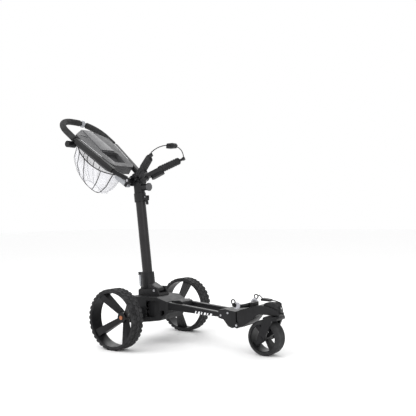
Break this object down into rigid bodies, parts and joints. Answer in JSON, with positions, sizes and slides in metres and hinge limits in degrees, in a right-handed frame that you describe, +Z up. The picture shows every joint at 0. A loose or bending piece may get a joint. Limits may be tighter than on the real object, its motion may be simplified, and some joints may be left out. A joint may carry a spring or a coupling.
{
  "type": "golf push cart",
  "caption": "Folding electric golf push cart with large rear wheels, a swivelling front wheel, a leaning mast, bag brackets and a looped handle with console and net.",
  "frame": {"origin": "on the floor under the rear axle, midway between the rear wheels", "axes": "+X forward to the front wheel, +Y to the cart's left, +Z up"},
  "size_m": [1.2943, 0.6, 1.1517],
  "materials": {
    "black_plastic": "satin black moulded plastic",
    "black_metal": "satin black powder coat",
    "mast_metal": "black anodised",
    "tyre": "matt black solid tyre",
    "rubber": "ribbed black rubber",
    "foam": "dark grey soft grip",
    "grey_plastic": "dark grey moulded plastic",
    "lid_plastic": "mid grey moulded plastic",
    "silver": "silver grey paint",
    "steel": "plain steel",
    "mesh": "white mesh with black piping",
    "elastic": "woven black elastic",
    "button": "copper coloured cap",
    "pale_pad": "light grey rubber"
  },
  "bodies": {
    "chassis": {"chassis_upper_shell": "black_plastic", "chassis_lower_shell": "black_plastic", "battery_pack": "black_plastic", "motor_controller": "grey_plastic", "motors": "steel", "axle_housings": "black_plastic", "axle_bearings": "steel", "rails": "black_metal", "rail_cover": "black_plastic", "front_knuckle": "black_plastic", "fold_pins": "steel", "mast_foot": "black_plastic"},
    "head": {"front_head": "black_plastic", "swivel_bearings": "steel", "lower_bracket_base": "black_plastic", "lower_arms": "black_metal", "lower_pads": "pale_pad", "strap_rings": "steel", "bag_seat": "rubber", "base_strap": "elastic", "strap_buckle": "black_plastic"},
    "caster": {"front_fork": "black_metal", "front_axle": "steel"},
    "front_wheel": {"front_tyre": "tyre", "front_rim": "black_plastic"},
    "mast": {"mast_socket": "black_plastic", "mast_tube": "mast_metal", "mast_collar": "black_plastic", "mast_pins": "steel"},
    "latch": {"fold_latch": "silver"},
    "clamp": {"clamp_lever": "black_plastic"},
    "bracket": {"bracket_hub": "black_plastic", "bracket_plates": "black_plastic", "arm_pins": "steel", "upper_stem": "mast_metal", "handle_pivot_pin": "steel", "bungee_cord": "elastic", "bungee_slider": "black_plastic"},
    "knob": {"height_knob": "grey_plastic"},
    "handle": {"handle_frame": "black_metal", "arm_casings": "grey_plastic", "grip_foam": "foam", "console_body": "grey_plastic", "net": "mesh"},
    "dial": {"speed_dial": "silver"},
    "tilt_knob": {"side_knob": "black_plastic"},
    "lid": {"console_lid": "lid_plastic"},
    "lever": {"tilt_lever": "silver"},
    "wheel_left": {"rear_tyre_left": "tyre", "rear_rim_left": "black_plastic", "axle_shaft_left": "steel"},
    "button_left": {"wheel_button_left": "button"},
    "arm_left": {"upper_arm_left": "black_plastic", "upper_pad_left": "rubber"},
    "wheel_right": {"rear_tyre_right": "tyre", "rear_rim_right": "black_plastic", "axle_shaft_right": "steel"},
    "button_right": {"wheel_button_right": "button"},
    "arm_right": {"upper_arm_right": "black_plastic", "upper_pad_right": "rubber"}
  },
  "joints": [
    {"name": "rear_wheel_left_spin", "type": "hinge", "parent": "chassis", "child": "wheel_left", "pos_m": [0, 0.266, 0.14], "axis": [0, 1, 0], "continuous": true},
    {"name": "wheel_button_left_push", "type": "slide", "parent": "wheel_left", "child": "button_left", "axis": [0, -1, 0], "range_m": [0, 0.004], "stiffness_N_per_m": 500},
    {"name": "rear_wheel_right_spin", "type": "hinge", "parent": "chassis", "child": "wheel_right", "pos_m": [0, -0.266, 0.14], "axis": [0, 1, 0], "continuous": true},
    {"name": "wheel_button_right_push", "type": "slide", "parent": "wheel_right", "child": "button_right", "axis": [0, 1, 0], "range_m": [0, 0.004], "stiffness_N_per_m": 500},
    {"name": "front_fold", "type": "hinge", "parent": "chassis", "child": "head", "pos_m": [0.526, 0, 0.126], "axis": [0, 1, 0], "range_deg": [0, 85]},
    {"name": "front_swivel", "type": "hinge", "parent": "head", "child": "caster", "pos_m": [0.692, 0, 0.19], "axis": [0, 0, 1], "continuous": true},
    {"name": "front_wheel_spin", "type": "hinge", "parent": "caster", "child": "front_wheel", "pos_m": [0.641, 0, 0.077], "axis": [0, 1, 0], "continuous": true},
    {"name": "mast_fold", "type": "hinge", "parent": "chassis", "child": "mast", "pos_m": [0.04, 0, 0.247], "axis": [0, 1, 0], "range_deg": [0, 75]},
    {"name": "fold_latch_release", "type": "hinge", "parent": "mast", "child": "latch", "pos_m": [-0.076, 0, 0.326], "axis": [0, 1, 0], "range_deg": [0, 35]},
    {"name": "clamp_lever_release", "type": "hinge", "parent": "mast", "child": "clamp", "pos_m": [-0.0336, 0, 0.70713], "axis": [0, -1, 0], "range_deg": [0, 110]},
    {"name": "mast_height", "type": "slide", "parent": "mast", "child": "bracket", "axis": [-0.1115, 0, 0.9938], "range_m": [0, 0.15]},
    {"name": "height_knob_turn", "type": "hinge", "parent": "bracket", "child": "knob", "pos_m": [-0.016, 0, 0.757], "axis": [1, 0, 0], "continuous": true},
    {"name": "upper_arm_left_fold", "type": "hinge", "parent": "bracket", "child": "arm_left", "pos_m": [-0.07074, 0.032, 0.80726], "axis": [0.454, 0, -0.891], "range_deg": [0, 20], "deforming": ["bungee_cord"]},
    {"name": "upper_arm_right_fold", "type": "hinge", "parent": "bracket", "child": "arm_right", "pos_m": [-0.07074, -0.032, 0.80726], "axis": [-0.454, 0, 0.891], "range_deg": [0, 20], "deforming": ["bungee_cord"]},
    {"name": "handle_tilt", "type": "hinge", "parent": "bracket", "child": "handle", "pos_m": [-0.102, 0, 0.79], "axis": [0, 1, 0], "range_deg": [0, 50]},
    {"name": "speed_dial_turn", "type": "hinge", "parent": "handle", "child": "dial", "pos_m": [-0.54571, 0.05678, 1.13047], "axis": [0.2713, 0.9397, -0.2082], "range_deg": [-135, 135]},
    {"name": "side_knob_turn", "type": "hinge", "parent": "handle", "child": "tilt_knob", "pos_m": [-0.42002, -0.144, 0.98991], "axis": [0, 1, 0], "continuous": true},
    {"name": "console_lid_open", "type": "hinge", "parent": "handle", "child": "lid", "pos_m": [-0.29462, 0, 0.96049], "axis": [0, 1, 0], "range_deg": [0, 70]},
    {"name": "tilt_lever_squeeze", "type": "hinge", "parent": "handle", "child": "lever", "pos_m": [-0.11905, -0.046, 0.76779], "axis": [0, 1, 0], "range_deg": [0, 8], "stiffness_Nm_per_rad": 0.5}
  ]
}
